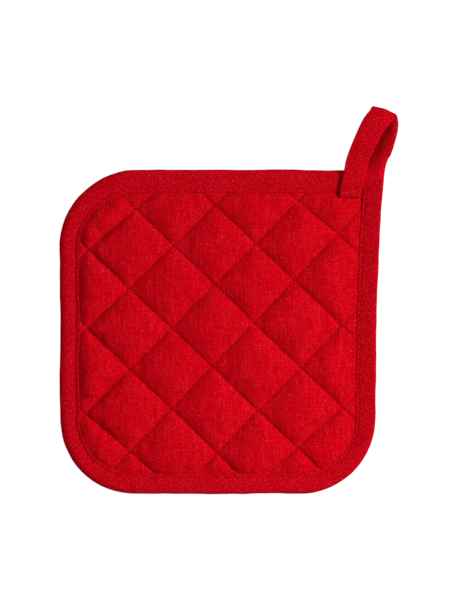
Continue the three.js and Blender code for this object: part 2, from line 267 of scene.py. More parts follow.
def refine(grid, samples, steps):
    """Cubic interpolation along the first axis, which keeps a crease at every seam line."""
    last = grid.shape[0] - 1
    k = np.minimum(np.floor(samples).astype(int), last - 1)
    t = (samples - k).reshape((-1,) + (1,) * (grid.ndim - 1))

    def column(mask):
        return mask.reshape((-1,) + (1,) * (grid.ndim - 1))

    a, b = grid[k], grid[k + 1]
    before = np.where(column(k % steps == 0), 2 * a - b, grid[np.maximum(k - 1, 0)])
    after = np.where(column((k + 1) % steps == 0), 2 * b - a, grid[np.minimum(k + 2, last)])
    return a + 0.5 * t * (b - before + t * (2 * before - 5 * a + 4 * b - after
                                            + t * (3 * (a - b) + after - before)))


def fine_samples(steps, fine):
    """Sample places along one axis, closer together near the seams."""
    cells = len(FALLING) + 2 * SPARE_LINES - 1
    u = np.arange(fine) / fine
    in_cell = u - SEAM_DENSITY * np.sin(2 * np.pi * u) / (2 * np.pi)
    places = (np.arange(cells)[:, None] + in_cell[None]).ravel() * steps
    return np.append(places, cells * steps)


# ---- Simulated pillows ----

HELD_UNDER_HEM = 1.5  # the binding holds the cloth down, up to this far from its hem
SIM_CUT = 2.0  # the simulated cloth ends this far inside the pad's edge
START_HEIGHT = 0.8
SEAM_REACH, BORDER_REACH = 6.0, 5.0

# How the pillows next to the binding differ from side to side, in millimetres.
HEM_OVERLAP = 1.2
LEFT_LIFT, LOWER_LIFT = 3.0, 0.4
UPPER_BIAS = 0.9  # how much more the upper left swells than the lower left
RISE_REACH, LIFT_REACH = 6.0, 20.0
FULL_HEIGHT = 1.2  # lower places are lifted less
LEFT_TUCK, TUCK_REACH = 0.3, 4.0  # how much less the pillows swell right at the left hem
LEFT_ROOM = {"front": 1.0, "back": 0.0}  # how much higher a pillow at the left may stand
RIGHT_SLOPE, RIGHT_START, RIGHT_REACH = 0.13, 3.0, 15.0  # a gentle ramp at the right
DETAIL_ROOM = 1.35  # how far the small relief may stand above the tallest pillow


def analytic_pillow(x, y, inset, width):
    """A low smooth pillow in every cell, from which the simulation starts."""
    falls, _ = seam_distance(FALLING, x, y)
    rises, _ = seam_distance(RISING, x, y)

    def reach(d, span):
        return 1 - np.exp(-np.abs(d) / span)

    border = reach(np.maximum(inset - width + HELD_UNDER_HEM, 0), BORDER_REACH)
    return reach(falls, SEAM_REACH) * reach(rises, SEAM_REACH) * border


def seam_distance(seams, x, y):
    """Signed distance to the nearest seam of a family, and how far along that seam."""
    best = np.full(np.shape(x), np.inf)
    along = np.zeros(np.shape(x))
    for height, lean in seams:
        c, s = math.cos(math.radians(lean)), math.sin(math.radians(lean))
        d = -s * x + c * (y - height)
        closer = np.abs(d) < np.abs(best)
        best = np.where(closer, d, best)
        along = np.where(closer, c * x + s * (y - height), along)
    return best, along


def swell(x, y, start, keep, pinned, growth):
    """Blow the cloth up between its pinned seams, and return how far every grid point moved."""
    faces, used = grid_faces(keep)
    points = np.stack([x.ravel()[used], y.ravel()[used], start.ravel()[used]], -1)
    cloth = make_object("cloth_in_the_making", points, [faces])
    pins = cloth.vertex_groups.new(name="pins")
    pins.add(np.flatnonzero(pinned.ravel()[used]).tolist(), 1.0, "REPLACE")
    settings = cloth.modifiers.new("Cloth", "CLOTH").settings
    settings.vertex_group_mass = "pins"
    settings.quality = 6
    settings.mass = 0.1
    settings.air_damping = 2.0
    settings.tension_stiffness = settings.compression_stiffness = 12.0
    settings.shear_stiffness = 4.0
    settings.bending_stiffness = 0.02
    settings.use_pressure = True
    settings.uniform_pressure_force = PRESSURE
    settings.shrink_min = -growth
    settings.effector_weights.gravity = 0.0
    cloth.modifiers["Cloth"].collision_settings.use_collision = False
    scene = bpy.context.scene
    for step in range(1, SIM_FRAMES + 1):
        scene.frame_set(step)
    swollen = cloth.evaluated_get(bpy.context.evaluated_depsgraph_get())
    moved = np.empty(len(used) * 3)
    swollen.data.vertices.foreach_get("co", moved)
    moved = moved.reshape(-1, 3) / MM
    mesh = cloth.data
    bpy.data.objects.remove(cloth)
    bpy.data.meshes.remove(mesh)
    scene.frame_set(1)
    out = np.stack([x.ravel(), y.ravel(), np.zeros(x.size)], -1)
    out[used] = moved
    return out.reshape(x.shape + (3,))


def cap(height, most):
    """Bring heights smoothly under a limit, and leave the low ones as they are."""
    knee = 0.75 * most
    over = np.maximum(height - knee, 0)
    room = most - knee
    return np.where(height > knee, knee + room * np.tanh(over / room), height)


def swollen_grid(side, x, y, inset, width):
    """The simulated heights of one cloth above its seams, and the sideways moves, on the coarse grid."""
    on_seam = np.arange(len(x)) % CELL_STEPS == 0
    pinned = on_seam[:, None] | on_seam[None, :] | (inset < width - HELD_UNDER_HEM)
    start = analytic_pillow(x, y, inset, width)
    centre = (inset[:-1, :-1] + inset[1:, 1:]) / 2
    start = START_HEIGHT * start * (1 + 0.25 * value_noise(x / 7, y / 7, SIM_SEED[side]))
    return swell(x, y, start, centre > SIM_CUT, pinned, GROWTH[side])


def soften(height, held):
    """Even out the smallest wrinkles of the simulation, and keep the seams where they are."""
    on_seam = np.arange(len(height)) % CELL_STEPS == 0
    held = held | on_seam[:, None] | on_seam[None, :]
    for _ in range(4):
        near = sum(np.roll(height, step, axis) for axis in (0, 1) for step in (1, -1))
        height = np.where(held, height, 0.5 * height + 0.125 * near)
    return height


# Relief near the seams, in millimetres.
CREASE_DEPTH, CREASE_REACH = 0.3, 0.8
HOLE_DEPTH, HOLE_ACROSS, HOLE_ALONG = 0.2, 0.9, 0.55
PUCKER_HEIGHT, PUCKER_REACH, PUCKER_START = 0.06, 2.0, 0.6
SLACK_HEIGHT, SLACK_REACH, SLACK_START = 0.09, 5.0, 1.6
SHOULDER_HEIGHT, SHOULDER_REACH = 0.5, 1.7
WRINKLE_HEIGHT, SWELL_HEIGHT = 0.05, 0.12
WANDER = 0.45


def crease_detail(x, y, inset, width, seed):
    """Creases, needle holes, puckers and slack in the cloth, in millimetres along Z."""
    out = np.zeros(x.shape)
    rise = []
    for family, seams in enumerate((FALLING, RISING)):
        d, along = seam_distance(seams, x, y)
        d = np.abs(d)
        hole = np.abs((along / STITCH_PITCH + 0.5) % 1 - 0.5) * STITCH_PITCH
        out -= CREASE_DEPTH * np.exp(-((d / CREASE_REACH) ** 2))
        out -= HOLE_DEPTH * np.exp(-((d / HOLE_ACROSS) ** 2) - (hole / HOLE_ALONG) ** 2)
        bend = value_noise(along / 5, d / 9, seed + family)
        fine = np.cos(2 * np.pi * along / STITCH_PITCH + 1.3 * bend)
        out -= PUCKER_HEIGHT * fine * np.exp(-d / PUCKER_REACH) * (1 - np.exp(-d / PUCKER_START))
        broad = value_noise(along / 4.3, d / 14 + 7, seed + 2 + family)
        out += SLACK_HEIGHT * broad * np.exp(-d / SLACK_REACH) * (1 - np.exp(-d / SLACK_START))
        rise.append(1 - np.exp(-d / SHOULDER_REACH))
    out += SHOULDER_HEIGHT * rise[0] * rise[1]
    out += WRINKLE_HEIGHT * value_noise(x / 2.3, y / 9, seed + 5)
    out += SWELL_HEIGHT * value_noise(x / 9, y / 14, seed + 6)
    return out * smooth((inset - width + 1.0) / 2.5)


def wander(x, y):
    """The slight irregularity of seams that were sewn by hand and eye, in millimetres."""
    return WANDER * value_noise(x / 26, y / 26, 40), WANDER * value_noise(x / 26 + 9, y / 26, 41)


def pillow_heights(side, height, past_hem, normal):
    """The simulated heights, higher next to the left and lower binding and flat next to the right."""
    left = np.clip(normal[..., 0], 0, 1) * (1 - UPPER_BIAS * normal[..., 1])
    right = np.clip(-normal[..., 0], 0, 1)
    lower = np.clip(normal[..., 1], 0, 1)
    lift = LEFT_LIFT * left * (1 - np.exp(-((past_hem / RISE_REACH) ** 1.5))) + LOWER_LIFT * lower
    lift = lift * np.exp(-((past_hem / LIFT_REACH) ** 2)) * np.clip(height / FULL_HEIGHT, 0, 1)
    plump = PLUMPER[side] * (1 - LEFT_TUCK * left * np.exp(-past_hem / TUCK_REACH))
    swollen = np.maximum(height, 0) * plump
    flat = right * np.exp(-((past_hem / RIGHT_REACH) ** 3))
    ramp = RIGHT_SLOPE * np.maximum(past_hem - RIGHT_START, 0)
    swollen = np.minimum(swollen, swollen * (1 - flat) + flat * ramp)
    return cap(swollen + lift, PILLOW[side] + LEFT_ROOM[side] * left)


def cloth_surface(side):
    """One quilted cloth's outer face on the fine grid: points and how far each lies inside the edge."""
    x, y = grid_points(CELL_STEPS)
    inset, normal, width = edge_distance(x, y)
    moved = swollen_grid(side, x, y, inset, width)
    past_hem = np.maximum(inset - width + HEM_OVERLAP, 0)
    even = soften(moved[..., 2], inset < width - HELD_UNDER_HEM)
    heights = pillow_heights(side, even, past_hem, normal)
    coarse = np.stack([moved[..., 0], moved[..., 1], heights, inset, width], -1)
    samples = fine_samples(CELL_STEPS, FINE_STEPS)
    fine = refine(coarse, samples, CELL_STEPS)
    fine = refine(fine.swapaxes(0, 1), samples, CELL_STEPS).swapaxes(0, 1)
    x, y, height, inset, width = (fine[..., i] for i in range(5))
    height = height + crease_detail(x, y, inset, width, CREASE_SEED[side])
    if side == "front":
        z = SEAM_Z[side] + np.minimum(height, PILLOW[side] + DETAIL_ROOM)
    else:
        z = np.maximum(SEAM_Z[side] - height, TABLE_GAP + 0.03 * value_noise(x / 3, y / 3, 90))
    return x, y, z, inset


def nudge_to_cut(x, y, inset, used, cut):
    """Move the used points that lie outside the cut line onto it."""
    outside = used[inset.ravel()[used] < cut + 1.0]
    real, normal, _ = edge_distance(x.ravel()[outside], y.ravel()[outside])
    push = np.maximum(cut - real, 0)
    x.ravel()[outside] += normal[:, 0] * push
    y.ravel()[outside] += normal[:, 1] * push


def closed_shell(name, x, y, top, bottom, inset, cut):
    """A closed sheet between two height fields on one grid, cut to the pad's shape."""
    x, y = x.copy(), y.copy()
    centre = (inset[:-1, :-1] + inset[1:, 1:]) / 2
    faces, used = grid_faces(centre > cut)
    nudge_to_cut(x, y, inset, used, cut)
    dx, dy = wander(x, y)
    plan = [(x + dx).ravel()[used], (y + dy).ravel()[used]]
    count = len(used)
    points = np.concatenate([
        np.stack(plan + [top.ravel()[used]], -1),
        np.stack(plan + [bottom.ravel()[used]], -1),
    ])
    edges = np.concatenate([faces[:, [i, (i + 1) % 4]] for i in range(4)])
    key = np.sort(edges, 1)
    _, first, uses = np.unique(key[:, 0] * count + key[:, 1], return_index=True, return_counts=True)
    rim = edges[first[uses == 1]]
    sides = np.stack([rim[:, 1], rim[:, 0], rim[:, 0] + count, rim[:, 1] + count], -1)
    return make_object(name, points, [faces, faces[:, ::-1] + count, sides])


# ---- Tape: the binding, the loop and the sewn end, one folded strip ----


def tape_width_noise(way):
    """How unevenly the tape was folded, in millimetres."""
    return 0.35 * value_noise(way / 17, way * 0, 21) + 0.25 * value_noise(way / 6, way * 0, 22)


def pad_stations():
    """Fold edge, open edge and half height of the tape round the pad."""
    path = resample(pad_edge(), TAPE_STEP)
    normal = inward(path)
    normal[-3:] = normal[-4]
    width = binding_width(normal)
    way = np.arange(len(path)) * TAPE_STEP
    start = np.argmax(path[:, 0] < TAPE_START_X)
    right = (path[:, 0] > RIGHT_SIDE_X) & (way > RIGHT_SIDE_FROM_WAY)
    lap = smooth((path[:, 1] - LAP_FROM_Y) / (LAP_TO_Y - LAP_FROM_Y)) * right
    half = BINDING_HALF + (LAP_HALF - BINDING_HALF) * lap
    width = width + tape_width_noise(way) * (1 - lap)
    last = len(path) - np.argmax(path[::-1, 1] < PAD_TAPE_TOP_Y)
    keep = slice(start, last)
    z = np.full((len(path), 1), MIDDLE_Z)
    bump = 0.45 * value_noise(way / 31, way * 0, 23) + 0.16 * value_noise(way / 7, way * 0, 24)
    path = path - normal * (bump * (1 - lap) + 0.1)[:, None]
    fold = np.hstack([path, z])
    opened = np.hstack([path + normal * width[:, None], z])
    return fold[keep], opened[keep], half[keep]


# Left edge, right edge, their two heights, half thickness and curl across the width along the loop.
LOOP_STATIONS = [
    ((90.6, 106), (104.0, 106), 1.9, 8.6, 1.6, -3.4),
    ((94.6, 114.5), (106.6, 112), 1.3, 11.4, 1.0, -2.8),
    ((98.4, 125.0), (109.8, 123.3), 1.5, 12.2, LOOP_HALF, -2.6),
    ((98.6, 133.4), (110.8, 130), 3.4, 12.2, LOOP_HALF, -1.6),
    ((96.0, 139.9), (110.8, 134.1), 7.4, 11.2, LOOP_HALF, 2.6),
    ((93.6, 137.0), (108.8, 131.4), 12.0, 12.6, LOOP_HALF, 3.0),
    ((89, 130.5), (103.4, 125.4), 13.0, 13.8, LOOP_HALF, 2.4),
    ((82.8, 116.6), (96.6, 112.8), 12.6, 13.4, LOOP_HALF, 1.6),
    ((79.2, 106.4), (93.6, 106), 10.6, 10.8, LOOP_HALF, 1.4),
    ((77.7, 98.3), (91.5, 98.3), 10.0, 10.1, 0.8, 1.4),
    ((76.8, 94), (90.7, 94), 9.8, 9.8, 0.75, 1.2),
    ((76.1, 90.6), (90.0, 90.6), 9.45, 9.45, 0.6, 0.6),
    ((75.8, 89.0), (89.6, 89.0), 8.6, 8.6, 0.35, 0.0),
    ((75.6, 87.6), (89.4, 87.6), 9.2, 9.2, 0.6, 0.4),
    ((75.5, 86), (89.3, 86.1), 9.35, 9.35, 0.7, 0.6),
    ((75.4, 84.4), (89.2, 84.6), 9.1, 9.1, 0.6, 0.5),
    ((75.5, 83.7), (89.2, 83.9), 8.5, 8.5, 0.5, 0.0),
    ((75.6, 84.4), (89.2, 84.5), 7.95, 7.95, 0.5, 0.0),
    ((75.7, 85.8), (89.2, 85.8), 7.8, 7.8, 0.5, 0.0),
    ((76, 92), (89.6, 92), 7.7, 7.7, 0.5, 0.0),
]


def spline(points, step):
    """A smooth curve through the points, with samples about a step apart and at least four a span."""
    padded = np.vstack([2 * points[0] - points[1], points, 2 * points[-1] - points[-2]])
    out = []
    for a, b, c, d in zip(padded, padded[1:], padded[2:], padded[3:]):
        count = max(4, int(np.ceil(np.linalg.norm((c - b)[:3]) / step)))
        t = (np.arange(count) / count)[:, None]
        out.append(b + 0.5 * t * (c - a + t * (2 * a - 5 * b + 4 * c - d + t * (3 * (b - c) + d - a))))
    out.append(points[-1:])
    return np.vstack(out)


def tape_frames():
    """Arrays along the whole tape: fold edge, across, up, width, half height and way along it."""
    fold, opened, half = pad_stations()
    joint = [np.hstack([fold[i], opened[i], half[i], 0]) for i in (-9, -1)]
    loop = [(*right, right_z, *left, left_z, thick, curl)
            for left, right, left_z, right_z, thick, curl in LOOP_STATIONS]
    curve = spline(np.array(joint + loop), TAPE_STEP)
    start = int(np.ceil(np.linalg.norm(joint[1][:3] - joint[0][:3]) / TAPE_STEP))
    curve = curve[start:]
    fold = np.vstack([fold[:-1], curve[:, :3]])
    opened = np.vstack([opened[:-1], curve[:, 3:6]])
    curl = np.concatenate([0 * half[:-1], curve[:, 7]])
    half = np.concatenate([half[:-1], curve[:, 6]])
    middle = (fold + opened) / 2
    along = unit(np.gradient(middle, axis=0))
    pad = len(fold) - len(curve)
    across = unit(opened - fold)
    up = unit(np.cross(along, across))
    up[:pad] = UP
    width = np.linalg.norm(opened - fold, axis=1)
    way = np.concatenate([[0], np.cumsum(np.linalg.norm(np.diff(middle, axis=0), axis=1))])
    return {"fold": fold, "across": across, "up": up, "along": along, "width": width, "half": half,
            "curl": curl, "way": way, "pad": pad}


FOLD_ANGLES = np.radians([0, 10, 22, 35, 48, 62, 76, 90])
FLAP_SHARES = np.linspace(0, 1, 13)[1:]
FLAP_END = 3.1  # the flap ends and the seam's groove begins this far from the hem

# The seam's groove and the hem: distance from the tape's open edge, and depth.
GROOVE = [(2.9, 0.06), (2.55, 0.3), (2.25, 0.46), (1.95, 0.34), (1.6, 0.1)]
HEM = [(0.95, 0.0), (0.5, 0.04), (0.18, 0.2), (0.03, 0.4), (0.0, 0.65), (0.06, 0.88), (0.25, 1.0)]
HEM_LIFT_REACH = 1.6  # the hem is lifted up to this far from the open edge
INNER = [1.4, 2.6]  # points of the inner face, from the open edge
SEAM_INSET = 2.25

# The section on the pad: each value, then what the pad's left side and its right side add to it.
PUFF = (0.4, 0.4, 0.5)
ROUNDING = (0.45, 0.75, -1.0)
SKEW = (1.0, -0.2, -0.55)
DENT = (0.55, 0.45, 0.0)
HEM_LIFT = (0.1, 0.6, -0.1)
TILT = (0.0, 0.0, 1.3)
FOLD_RISE = (0.0, 0.0, 0.65)
LOOSE_DENT = 0.4  # the groove's depth on the loop, as a share of its depth on the pad
FOLD_INSIDE = 0.9  # the inner face of the fold, from its outer face


def half_section(frames):
    """The upper half of the tape's section at every station: distance from the fold, and height."""
    width, half = frames["width"][:, None], frames["half"][:, None]
    way = frames["way"][:, None]
    thick = np.minimum(TAPE_CLOTH, half - 0.03)
    slit = half - thick
    on_pad = np.arange(len(width))[:, None] < frames["pad"]
    left = np.clip(frames["across"][:, :1], 0, 1) * on_pad
    right = np.clip(-frames["across"][:, :1], 0, 1) * on_pad

    def by_side(plain, at_left, at_right):
        return plain + at_left * left + at_right * right

    puff = by_side(*PUFF) * np.clip(half / BINDING_HALF, 0.3, 1)
    puff = puff * (1 + 0.3 * value_noise(way / 9, way * 0, 31))
    radius = (0.3 + 0.75 * half) * (1 + by_side(*ROUNDING) * on_pad)
    skew = by_side(*SKEW)
    flap_end = width - FLAP_END
    dent = np.where(on_pad, 1.0, LOOSE_DENT) * thick / TAPE_CLOTH * by_side(*DENT)
    lift = by_side(*HEM_LIFT) * on_pad

    def tilt(d):
        return by_side(*TILT) * (0.5 - d / width)

    def bulge(d):
        return puff * np.sin(np.pi * np.clip(d / flap_end, 0, 1) ** skew)

    rounded = radius * (1 - np.cos(FOLD_ANGLES)[None])
    d = [rounded, radius + (flap_end - radius) * FLAP_SHARES[None]]
    h = [(half + by_side(*FOLD_RISE)) * np.sin(FOLD_ANGLES)[None] + bulge(rounded),
         half + bulge(d[1]) + tilt(d[1])]
    for inset, depth in GROOVE:
        d.append(width - inset)
        h.append(half - depth * dent + tilt(d[-1]))
    for inset, depth in HEM:
        d.append(width - inset)
        h.append(half - depth * thick + lift * (1 - inset / HEM_LIFT_REACH) + tilt(d[-1]))
    d += [width - inset for inset in INNER] + [width * 0.6, radius * 1.1, radius * 0.55 + 0.25]
    h += [slit] * (len(INNER) + 2) + [slit * 0.7]

    def full(parts):
        return np.hstack([np.broadcast_to(p, (len(width), p.shape[1])) for p in parts])

    return full(d), full(h)


# Unevenness of the tape's faces, in millimetres, and where across the width its folds lie.
DIMPLES, CRINKLES, HEM_PUCKERS, SOFT_FOLDS = 0.1, 0.06, 0.12, 0.5
FOLDS_AT, FOLDS_REACH = 0.45, 0.24
SMOOTH_STATIONS = 12  # stations past the pad without soft folds
REAR_CURL_FROM, FRONT_CURL_FROM = 0.12, 0.5  # where across the width the curl begins
EDGE_ROLL = 0.6


def ripple(frames, d):
    """Small unevenness of the tape's faces, which grows towards the hem."""
    way = frames["way"][:, None] * np.ones_like(d)
    share = d / frames["width"][:, None]
    out = DIMPLES * value_noise(way / 4, d / 4, 33) + CRINKLES * value_noise(way / 1.4, d / 3, 34)
    out += HEM_PUCKERS * value_noise(way / 1.9, d / 12, 35) * smooth((share - 0.45) / 0.5)
    thin = np.clip(frames["half"][:, None] / BINDING_HALF, 0.35, 1)
    past_pad = np.arange(len(d))[:, None] > frames["pad"] + SMOOTH_STATIONS
    folds = SOFT_FOLDS * value_noise(way / 9 + d / 12, d / 5, 36)
    folds = folds * np.exp(-((share - FOLDS_AT) / FOLDS_REACH) ** 2)
    return (out * thin + folds * past_pad) * smooth(d / 3)


def camber(frames, d):
    """How far the loop's legs and top curl across their width."""
    share = d / frames["width"][:, None]
    centre = np.where(frames["curl"][:, None] < 0, REAR_CURL_FROM, FRONT_CURL_FROM)
    edge_roll = EDGE_ROLL * np.minimum(frames["curl"], 0)[:, None] * np.exp(-d / 1.8)
    return frames["curl"][:, None] * (share - centre) ** 2 + edge_roll


def tape_piece():
    """The whole folded tape as one mesh, and its frames."""
    frames = tape_frames()
    d, h = half_section(frames)
    outside = h > 0.6 * frames["half"][:, None]
    waves = ripple(frames, d)
    loose = np.arange(len(d))[:, None] > frames["pad"]
    upper = h + waves * (outside | loose)
    lower = h + np.where(loose, -waves, ripple(frames, d + 0.01) * outside)
    section_d = np.hstack([d, np.full((len(d), 1), FOLD_INSIDE), d[:, :0:-1]])
    section_h = np.hstack([upper, np.zeros((len(d), 1)), -lower[:, :0:-1]])
    section_h = section_h + camber(frames, section_d)
    points = (frames["fold"][:, None] + frames["across"][:, None] * section_d[..., None]
              + frames["up"][:, None] * section_h[..., None])
    points[..., 2] = np.maximum(points[..., 2], TABLE_GAP)
    stations, around = section_d.shape
    number = np.arange(stations * around).reshape(stations, around)
    here, there = number[:-1], number[1:]
    quads = np.stack([here, there, np.roll(there, -1, 1), np.roll(here, -1, 1)], -1).reshape(-1, 4)
    piece = make_object("bound_tape", points.reshape(-1, 3),
                        [quads, [number[0].tolist()], [number[-1][::-1].tolist()]])
    step = np.hypot(np.diff(section_d, axis=1), np.diff(section_h, axis=1))
    unrolled = np.hstack([np.zeros((stations, 1)), np.cumsum(step, 1)])
    place = np.stack([np.broadcast_to(frames["way"][:, None], section_d.shape), unrolled,
                      np.zeros_like(section_d)], -1)
    attribute = piece.data.attributes.new("cloth_co", "FLOAT_VECTOR", "POINT")
    attribute.data.foreach_set("vector", (place * MM).ravel())
    return piece, frames


# ---- Stitches ----

STITCH_SAG = 0.32  # how far a stitch's ends dive
RING = 6  # points round a stitch


def stitch_form(length, radius, sag):
    """One stitch, whose ends dive into the cloth: points along, across and up, and its faces."""
    share = np.array([-0.96, -0.72, -0.3, 0.3, 0.72, 0.96])
    angle = np.arange(RING) * 2 * np.pi / RING
    size = radius * np.sqrt(1 - share**2) ** 0.8
    along = np.repeat(share * length / 2, RING)
    across = (size[:, None] * np.cos(angle)).ravel()
    up = (size[:, None] * np.sin(angle) - sag * share[:, None] ** 2).ravel()
    rows = len(share)
    faces = []
    for i in range(rows - 1):
        for j in range(RING):
            a, b = RING * i + j, RING * i + (j + 1) % RING
            faces.append((a, b, b + RING, a + RING))
    caps = [tuple(reversed(range(RING))), tuple(RING * (rows - 1) + j for j in range(RING))]
    return np.stack([along, across, up], -1), faces, caps


def stitches(name, centres, along, up, length=2.5, radius=0.26, sag=STITCH_SAG):
    """A row of stitches at these places, as one mesh."""
    along = unit(along)
    across = unit(np.cross(up, along))
    up = np.cross(along, across)
    form, quads, caps = stitch_form(length, radius, sag)
    axes = np.stack([along, across, up], 1)
    points = centres[:, None] + np.einsum("vk,nkc->nvc", form, axes)
    offset = np.arange(len(centres))[:, None, None] * len(form)
    faces = [(np.array(part)[None] + offset).reshape(-1, len(part[0])) for part in (quads, caps)]
    return make_object(name, points.reshape(-1, 3), faces)


SEAM_STITCHES = 70  # more than enough each way from x = 0
CLEAR_OF_HEM = 0.8


def seam_stitches(side, label, number, line):
    """The thread that shows on one side of one quilting seam."""
    height, lean = line
    c, s = math.cos(math.radians(lean)), math.sin(math.radians(lean))
    way = (np.arange(-SEAM_STITCHES, SEAM_STITCHES) + 0.5) * STITCH_PITCH
    x, y = c * way, height + s * way
    inset, _, width = edge_distance(x, y)
    keep = inset > width + CLEAR_OF_HEM
    x, y = x[keep], y[keep]
    dx, dy = wander(x, y)
    sign = 1 if side == "front" else -1
    z = np.full(len(x), SEAM_Z[side] - sign * STITCH_SAG)
    centres = np.stack([x + dx, y + dy, z], -1)
    direction = np.broadcast_to([c, s, 0.0], centres.shape)
    up = np.broadcast_to(UP * sign, centres.shape)
    return stitches(f"stitches_{side}_{label}_{number}", centres, direction, up)


TAPE_STITCH_DEPTH = 0.34
BEND_SPAN, LEAST_STRAIGHT = 2.0, 0.7  # a stitch needs tape this straight before and after it


def vectors_at(frames, key, way):
    """One of the tape's vectors at these distances along it."""
    return np.stack([np.interp(way, frames["way"], frames[key][:, i]) for i in range(3)], -1)


def tape_stitches(name, frames, first, last, sign):
    """Stitches along the tape's seam between two distances along it, but none across a tight fold."""
    way = np.arange(first, last, STITCH_PITCH)
    before, after = (unit(vectors_at(frames, "along", way + step)) for step in (-BEND_SPAN, BEND_SPAN))
    way = way[(before * after).sum(1) > LEAST_STRAIGHT]
    width, half = (np.interp(way, frames["way"], frames[key]) for key in ("width", "half"))
    fold, across, up = (vectors_at(frames, key, way) for key in ("fold", "across", "up"))
    across, up = unit(across), unit(up) * sign
    centres = fold + across * (width - SEAM_INSET)[:, None] + up * (half - TAPE_STITCH_DEPTH)[:, None]
    return stitches(name, centres, vectors_at(frames, "along", way), up)


# ---- Materials ----


class Nodes:
    """Short calls that add nodes to one material."""

    def __init__(self, name):
        self.material = bpy.data.materials.new(name)
        self.material.use_nodes = True
        self.tree = self.material.node_tree
        self.shader = self.tree.nodes["Principled BSDF"]

    def add(self, kind, **values):
        """A node with these settings or input values."""
        node = self.tree.nodes.new(kind)
        for key, value in values.items():
            if hasattr(node, key):
                setattr(node, key, value)
            else:
                node.inputs[key.replace("_", " ")].default_value = value
        return node

    def link(self, source, target):
        """Join an output to an input, and return the input's node."""
        self.tree.links.new(source, target)
        return target.node

    def place(self, attribute=None):
        """Where on the piece: a named attribute, or else the piece's own coordinates."""
        if attribute:
            return self.add("ShaderNodeAttribute", attribute_name=attribute).outputs["Vector"]
        return self.add("ShaderNodeTexCoord").outputs["Object"]

    def mapped(self, source, scale, turn=0.0):
        """Places scaled, then turned by these degrees about Z."""
        node = self.add("ShaderNodeMapping")
        node.inputs["Scale"].default_value = scale
        node.inputs["Rotation"].default_value = (0, 0, math.radians(turn))
        self.link(source, node.inputs["Vector"])
        return node.outputs["Vector"]

    def noise(self, source, scale, detail=2.0, roughness=0.5):
        """Irregular tone from 0 to 1."""
        node = self.add("ShaderNodeTexNoise")
        node.inputs["Scale"].default_value = scale
        node.inputs["Detail"].default_value = detail
        node.inputs["Roughness"].default_value = roughness
        self.link(source, node.inputs["Vector"])
        return node.outputs["Fac"]

    def wave(self, source, scale, direction, distortion=1.0):
        """Regular bands across a direction, from 0 to 1."""
        node = self.add("ShaderNodeTexWave", bands_direction=direction)
        node.inputs["Scale"].default_value = scale
        node.inputs["Distortion"].default_value = distortion
        node.inputs["Detail"].default_value = 1.0
        self.link(source, node.inputs["Vector"])
        return node.outputs["Fac"]

    def math(self, operation, a, b):
        """Arithmetic on two values, each a number or an output."""
        node = self.add("ShaderNodeMath", operation=operation)
        for socket, value in zip(node.inputs, (a, b)):
            if isinstance(value, (int, float)):
                socket.default_value = value
            else:
                self.link(value, socket)
        return node.outputs[0]

    def spread(self, source, low, high, to_low, to_high):
        """A value brought from one range to another, and held inside it."""
        node = self.add("ShaderNodeMapRange")
        for key, value in zip(("From Min", "From Max", "To Min", "To Max"), (low, high, to_low, to_high)):
            node.inputs[key].default_value = value
        self.link(source, node.inputs["Value"])
        return node.outputs["Result"]

    def mix(self, factor, a, b):
        """A colour between two, each a constant or an output."""
        node = self.add("ShaderNodeMix", data_type="RGBA")
        self.link(factor, node.inputs["Factor"])
        for socket, value in ((node.inputs[6], a), (node.inputs[7], b)):
            if isinstance(value, tuple):
                socket.default_value = (*value, 1)
            else:
                self.link(value, socket)
        return node.outputs[2]

    def bump(self, height, strength, distance, normal=None):
        """A surface normal that is tilted by a height, on top of another normal."""
        node = self.add("ShaderNodeBump")
        node.inputs["Strength"].default_value = strength
        node.inputs["Distance"].default_value = distance
        self.link(height, node.inputs["Height"])
        if normal:
            self.link(normal, node.inputs["Normal"])
        return node.outputs["Normal"]

    def finish(self, colour, normal, roughness, sheen, sheen_tint):
        """Set up the shader as soft cloth, and return the material."""
        inputs = self.shader.inputs
        self.link(colour, inputs["Base Color"])
        self.link(normal, inputs["Normal"])
        inputs["Roughness"].default_value = roughness
        inputs["Specular IOR Level"].default_value = 0.0
        inputs["Sheen Weight"].default_value = sheen
        inputs["Sheen Roughness"].default_value = 0.6
        inputs["Sheen Tint"].default_value = (*sheen_tint, 1)
        return self.material


# The pale colours and the fleck colour are paler threads and flecks, tinted pink as painted glint in place
# of the specular highlight that the shader leaves out.
PANEL_DEEP = (0.34, 0.0002, 0.003)
PANEL_RED = (0.50, 0.0005, 0.0055)
PANEL_PALE_AND_GLINT = (0.67, 0.0120, 0.0270)
TAPE_DEEP = (0.33, 0.0002, 0.003)
TAPE_RED = (0.46, 0.0005, 0.0050)
TAPE_PALE_AND_GLINT = (0.66, 0.0100, 0.0280)
FLECK_AND_GLINT = (0.76, 0.075, 0.105)
THREAD_DARK = (0.26, 0.0004, 0.004)
THREAD_RED = (0.42, 0.0010, 0.008)


